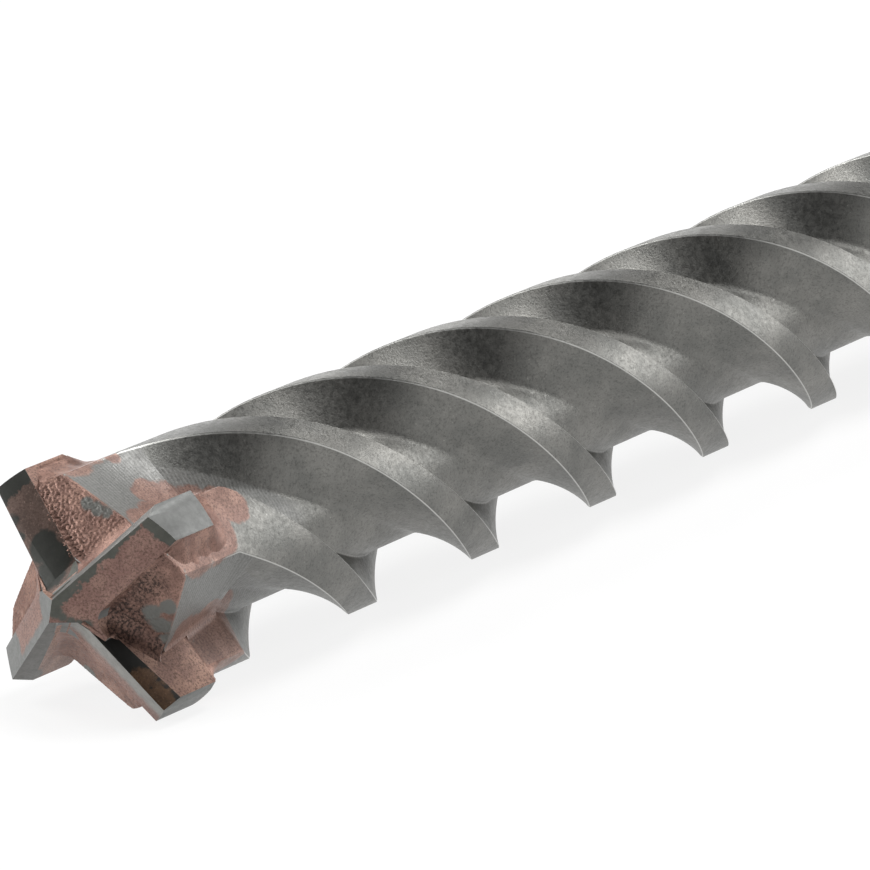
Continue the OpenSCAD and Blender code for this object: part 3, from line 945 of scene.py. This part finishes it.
def carbide_material(name, ground, coat=None, coated_tone="8E7068", bright_tone="98786D", lump_mm=0.3):
    """Carbide of one ground colour, with a copper skin where coat gives a mask."""
    material, tree = new_material(name)
    position = in_mm(tree)
    cloud = add_node(tree, "TexNoise", Vector=position, Scale=1 / CLOUD_MM, Detail=4, Roughness=0.6)
    tone = add_node(tree, "MapRange", SMOOTH, Value=cloud, From_Min=0.3, From_Max=0.7, To_Min=0.88,
                    To_Max=1.1)
    colour = add_node(tree, "VectorMath", {"operation": "SCALE"}, _0=linear(ground)[:3], Scale=tone)
    scratches = add_node(tree, "TexNoise", Vector=position, Scale=1 / SCRATCH_MM, Detail=3, Roughness=0.6)
    rough = add_node(tree, "MapRange", SMOOTH, Value=scratches, From_Min=0.3, From_Max=0.7, To_Min=0.46,
                     To_Max=0.6)
    if coat:
        skin, _ = copper_look(tree, position, bright_tone, coated_tone, "49372F")
        colour = add_node(tree, "Mix", COLOURS, _0=coat(tree, position), _6=colour, _7=skin)
    lumps = add_node(tree, "TexNoise", Vector=position, Scale=1 / lump_mm, Detail=4, Roughness=0.65)
    finish_metal(tree, colour, rough, 0.4, lumps, strength=0.3, depth=0.05)
    return material


print("carbide scratches are", SCRATCH_MM, "mm apart, coarser than real ones, so that they show")

# %% [markdown]
# The faces of the cross differ, so each family has its own slot: honed edges, ground ends, front faces,
# the clearance face of each arm, and the walls. On a clearance face the copper skin stops short of the
# ground tip, and the furnace left each arm with a skin of its own extent. The honed edges are lighter
# as a painted highlight. Each clearance face, with its copper skin, gets a grey of its own arm as painted
# light and shade, and arm 1's front face is a darker copy of the other front faces, as painted shade.

# %% A finish for each family of faces
skin_0 = both(both(band_mask(0, 1, -0.15), band_mask(0, 0, 11.4, 0.3)), outside([
    (0.2, -0.3, -0.2, 0, 0.7), (0.2, -1.0, -0.6, 0, 0.5), (0.3, -1.7, -1.0, 0, 0.5),
    (0.5, -2.3, -1.4, 0, 0.5), (0.9, -2.8, -1.7, 0, 0.5)], 0.15))
skin_1 = band_mask(1, 1, -1.5, 0.3, soft=0.5)
skin_2 = both(band_mask(2, 1, -0.4, 0.2, soft=0.25), outside([
    (0.3, -1.2, -0.8, 2, 1.9), (11.3, -1.0, -4.2, 2, 2.7), (11.0, -3.8, -5.6, 2, 2.0)], 0.3))
skin_3 = both(band_mask(3, 0, 10.9, 0.5), outside([
    (5.4, -1.0, -3.2, 3, 1.5), (3.9, -1.3, -3.2, 3, 1.5), (3.0, -0.4, -2.5, 3, 1.3),
    (9.2, 0.4, -3.3, 3, 0.6), (7.6, 0.4, -3.0, 3, 0.5)], 0.4))
skin_front = inside([(9.4, 1.0, -3.4, 1, 1.3), (11.4, 1.0, -4.0, 1, 1.5)], 0.6)
skin_walls = outside([(11.6, 1.05, -5, 0, 1.2), (11.6, 1.05, -5, 2, 1.2)], 0.5)
# Painted light and shade: the clearance faces' greys and copper skins differ by arm, and arm 1's front face
# is much darker.
SLOTS = {
    # The honed edges get a lighter grey as a painted highlight.
    "honed_edge_highlight": carbide_material("honed_carbide_edge_highlight", "A6A6A3"),
    "ground_end": carbide_material("ground_carbide_end", "7B7C7A", lump_mm=0.5),
    "front_light": carbide_material("ground_carbide_front", "777673"),
    "front_shaded": carbide_material("shaded_carbide_front", "2A2927", skin_front, "54402F", "6E543F"),
    "relief_0": carbide_material("coated_carbide_main", "54554F", skin_0, "87675E"),
    "relief_1": carbide_material("coated_carbide_side", "8E8D89", skin_1, "87675E"),
    "relief_2": carbide_material("coated_carbide_far_main", "787977", skin_2, "8E7066"),
    "relief_3": carbide_material("coated_carbide_far_side", "30312D", skin_3, "53443D", "6A574F"),
    "wall": carbide_material("copper_skinned_carbide", "6F6D69", skin_walls, "8C6E63", "AA8878"),
}
print("carbide finishes:", len(SLOTS))

# %% Give each face its finish
SQUARE_ON, UPWARD, LEANING = 0.8, 0.6, 0.2
GASH_REACH, GASH_SHARE = 3, 0.98


def slot_of(face):
    """Names the family of a carbide face from its normal and its place."""
    for arm in range(FLUTES):
        origin = place(0, 0, 0, arm)
        n = from_arm(face.normal * MM + origin, arm)
        p = from_arm(face.center, arm)
        if p.x < abs(p.y) * GASH_SHARE and p.x < GASH_REACH:
            continue
        if n.x > SQUARE_ON:
            return "ground_end"
        if n.z > UPWARD:
            return "relief_" + str(arm)
        if n.y > SQUARE_ON and n.z > LEANING:
            # Arm 1's front face takes the darker copy, as painted shade.
            return "front_shaded" if arm == 1 else "front_light"
    if face.normal.x < -UPWARD:
        return "relief_0" if from_arm(face.center, 0).x > 0 else "relief_2"
    return "wall"


carbide.data.materials.clear()
names = list(SLOTS)
for name in names:
    carbide.data.materials.append(SLOTS[name])
counts = dict.fromkeys(names, 0)
for face in carbide.data.polygons:
    name = "honed_edge_highlight" if face.index in honed_faces else slot_of(face)
    counts[name] += 1
    face.material_index = names.index(name)
print("carbide faces by finish:", counts)

# %% [markdown]
# The steel was blasted with fine grit after hardening, which leaves a matt mid grey that sparkles a
# little. The faces between the arms were milled last, and show the cutter's even lines. A slanting wedge
# in each flute gets the same lighter tone as painted light, and the rims beside the lands' tops get a
# lighter tone as a painted highlight.

# %% Milled faces
# RIM is the width of the rims that get a painted highlight. The other values place the milled faces and a
# slanting wedge of painted light in each flute.
RIM, MILLED_END, LIT_WEDGE_END = 0.15, 15.5, 29
LIT_WEDGE_START, LIT_WEDGE_SLANT = 18.1, 0.72
LIT_WEDGE_FADE, BORDER_SOFT, MILLED_SOFT = 4, 0.25, 0.2


def radius_of(tree, position):
    """Distance of a point from the bit's axis, in millimetres."""
    flat = add_node(tree, "VectorMath", MULTIPLY, _0=position, _1=(0, 1, 1))
    return add_node(tree, "VectorMath", {"operation": "LENGTH"}, _0=flat)


def milled_and_lit_mask(tree, position, radius):
    """1 where the cutter has milled the faces between the arms, and on a slanting wedge of painted light in
    each flute.
    """
    height = arm_axis(tree, position, 0, 2)
    mask = add_node(tree, "MapRange", SMOOTH, Value=height, From_Min=-MILLED_END - MILLED_SOFT,
                    From_Max=-MILLED_END + MILLED_SOFT)
    for arm in range(FLUTES):
        u, v = arm_axis(tree, position, arm, 0), arm_axis(tree, position, arm, 1)
        # Each wedge is a slanting patch of painted light in a flute.
        fall = add_node(tree, "Math", MULTIPLY, _0=height, _1=LIT_WEDGE_SLANT)
        slant = add_node(tree, "Math", SUBTRACT, _0=u, _1=fall)
        lit_wedge = add_node(tree, "MapRange", SMOOTH, Value=slant, From_Min=LIT_WEDGE_START + BORDER_SOFT,
                         From_Max=LIT_WEDGE_START - BORDER_SOFT)
        for value, low, high in ((v, -ARM_TRAIL, -ARM_TRAIL - 1), (u, -ARM_TRAIL - 1, -ARM_TRAIL),
                                 (height, -LIT_WEDGE_END, -LIT_WEDGE_END + LIT_WEDGE_FADE)):
            limit = add_node(tree, "MapRange", SMOOTH, Value=value, From_Min=low, From_Max=high)
            lit_wedge = add_node(tree, "Math", MULTIPLY, _0=lit_wedge, _1=limit)
        mask = add_node(tree, "Math", LARGER, _0=mask, _1=lit_wedge)
    below_rim = add_node(tree, "MapRange", SMOOTH, Value=radius, From_Min=LAND_R - RIM / 2,
                         From_Max=LAND_R - RIM)
    return add_node(tree, "Math", MULTIPLY, _0=mask, _1=below_rim)


def rim_highlight_mask(tree, radius):
    """1 on the narrow rims beside a land's top, which get a painted highlight."""
    above = add_node(tree, "MapRange", SMOOTH, Value=radius, From_Min=LAND_R - RIM - 0.02,
                     From_Max=LAND_R - RIM + 0.03)
    below = add_node(tree, "MapRange", SMOOTH, Value=radius, From_Min=LAND_R - 0.02, From_Max=LAND_R - 0.05)
    return add_node(tree, "Math", MULTIPLY, _0=above, _1=below)


# The second value printed is where the wedges of painted light end.
print("milled faces end", MILLED_END, "mm behind the tip, and the cutter's path at", LIT_WEDGE_END, "mm")

# %% [markdown]
# One recipe makes both steels. The blasted one has milled faces and copper stains, and the shank is
# turned and ground, so it is smoother and brighter. Real grit and cutter lines are finer than a pixel,
# so they are drawn as coarse as they need to show.

# %% Steel
LINES_MM, SPECK_MM, ROUGH_MM, STEEL_CLOUD_MM = 0.36, 0.22, 0.5, 6
WAVE_UNIT = math.pi / 10


def steel_material(name, tone, dark_tone, roughness, metallic, stains=None, milled=None):
    """Blasted or ground steel, with milled faces and copper stains where the head needs them."""
    material, tree = new_material(name)
    position = in_mm(tree)
    cloud = add_node(tree, "TexNoise", Vector=position, Scale=1 / STEEL_CLOUD_MM, Detail=4, Roughness=0.6)
    colour = tint(tree, linear(dark_tone), linear(tone), cloud, 0.32, 0.68)
    speck = add_node(tree, "TexNoise", Vector=position, Scale=1 / SPECK_MM, Detail=3, Roughness=0.7)
    height = speck
    if milled:
        radius = radius_of(tree, position)
        mask = milled_and_lit_mask(tree, position, radius)
        lines = add_node(tree, "TexWave", {"wave_type": "BANDS", "bands_direction": "X"}, Vector=position,
                         Scale=WAVE_UNIT / LINES_MM, Distortion=0.6, Detail=2).outputs["Fac"]
        milled_and_lit_look = tint(tree, linear(milled), linear("5E5E5C"), lines, 0.2, 0.8, 0.3)
        # The milled tone and its lines go on the milled faces and, as painted light, on the wedge in each
        # flute.
        colour = add_node(tree, "Mix", COLOURS, _0=mask, _6=colour, _7=milled_and_lit_look)
        metallic = add_node(tree, "MapRange", SMOOTH, Value=mask, To_Min=metallic, To_Max=0.3)
        ridge = add_node(tree, "Math", MULTIPLY, _0=mask, _1=0.3)
        ridges = add_node(tree, "Math", MULTIPLY, _0=lines, _1=ridge)
        height = add_node(tree, "Math", ADD, _0=speck, _1=ridges)
    colour = tint(tree, colour, linear("3C3C3A"), speck, 0.5, 0.36, 0.35)
    colour = tint(tree, colour, linear("C8C6BF"), speck, 0.64, 0.74, 0.3)
    if milled:
        # Painted highlight: a lighter tone on the rims beside each land's top.
        colour = lay_over(tree, colour, linear("D0D0CC"), rim_highlight_mask(tree, radius), 0.7)
    if stains:
        stain = spots_mask(tree, position, stains, wobble=0.45, wave=2.0)
        copper_tone, _ = copper_look(tree, position)
        colour = lay_over(tree, colour, copper_tone, stain, 0.92)
        bare_metal = add_node(tree, "MapRange", SMOOTH, Value=stain, To_Min=1, To_Max=0.4)
        metallic = add_node(tree, "Math", MULTIPLY, _0=metallic, _1=bare_metal)
    patches = add_node(tree, "TexNoise", Vector=position, Scale=1 / ROUGH_MM, Detail=3, Roughness=0.6)
    rough = add_node(tree, "MapRange", SMOOTH, Value=patches, From_Min=0.3, From_Max=0.7,
                     To_Min=roughness[0], To_Max=roughness[1])
    finish_metal(tree, colour, rough, metallic, height, strength=0.4, depth=0.05)
    return material


print("cutter lines are drawn", LINES_MM, "mm apart")

# %% Stains on the steel
land_stains = [(10.4, -3.7, -6.2, 0, 1.1), (10.7, 0.6, -12.8, 0, 3.0), (10.7, -0.9, -15.2, 0, 1.9),
               (10.3, -2.8, -11.5, 0, 2.6), (9.9, -3.9, -8.5, 0, 2.0)]
for arm in (1, 2, 3):
    land_stains += [(10.7, 0.3, -12.2, arm, 3.0), (10.3, -2.6, -10.5, arm, 2.6), (9.9, -4.0, -8.2, arm, 2.0)]
wall_stains = [(u, ARM_LEAD, w, arm, 2.4) for arm in range(FLUTES)
               for u, w in ((9.6, -12.6), (9.6, -9), (6.5, -13.8), (6.3, -10))]
wall_stains += [(10.6, 1.0, -14.2, 1, 2.2), (7.6, 1.0, -15.8, 1, 2.4), (5.0, 1.2, -15.6, 1, 2.2)]
milled_stains = [(4.2, -5.8, -12.8, 3, 2.0), (3.0, -5.9, -14.5, 3, 2.2), (2.0, -6.4, -11.0, 3, 2.0),
                 (2.2, -5.2, -17.0, 3, 2.0), (1.8, -5.2, -19.2, 3, 1.5), (1.8, -6.8, -8.6, 3, 1.8),
                 (9.2, -4.8, -12.6, 3, 0.8)]
milled_stains += [(1.6, -6.8, -12.0, arm, 1.2) for arm in (0, 1, 2)]
head_stains = land_stains + wall_stains + milled_stains
print("stains on the steel:", len(head_stains))

# %% Finish the steel
blasted = steel_material("grit_blasted_steel", "82817D", "6E6E6B", (0.36, 0.48), 0.95, head_stains, "868683")
ground_shank = steel_material("ground_steel_shank", "A4A3A0", "92928F", (0.3, 0.42), 0.8)
for material in (blasted, ground_shank):
    body.data.materials.append(material)
shank_faces = 0
for face in body.data.polygons:
    if face.center.x / MM - TIP_X > FLUTED + COLLAR_LEN - 1:
        face.material_index = 1
        shank_faces += 1
print("steel faces:", face_count(body), "of which ground:", shank_faces)

# %% [markdown]
# ## Pieces on the body
#
# Each piece rides on the one body of the bit and stands for its solid.

# %% Ride and replace
for piece, node, slot in ((body, "drill_body", "blasted_steel"),
                          (carbide, "carbide_head", "tungsten_carbide"),
                          (crust, "braze_joint", "copper_braze")):
    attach(piece, "root")
    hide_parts(node)
    print(piece.name, "stands for", node)
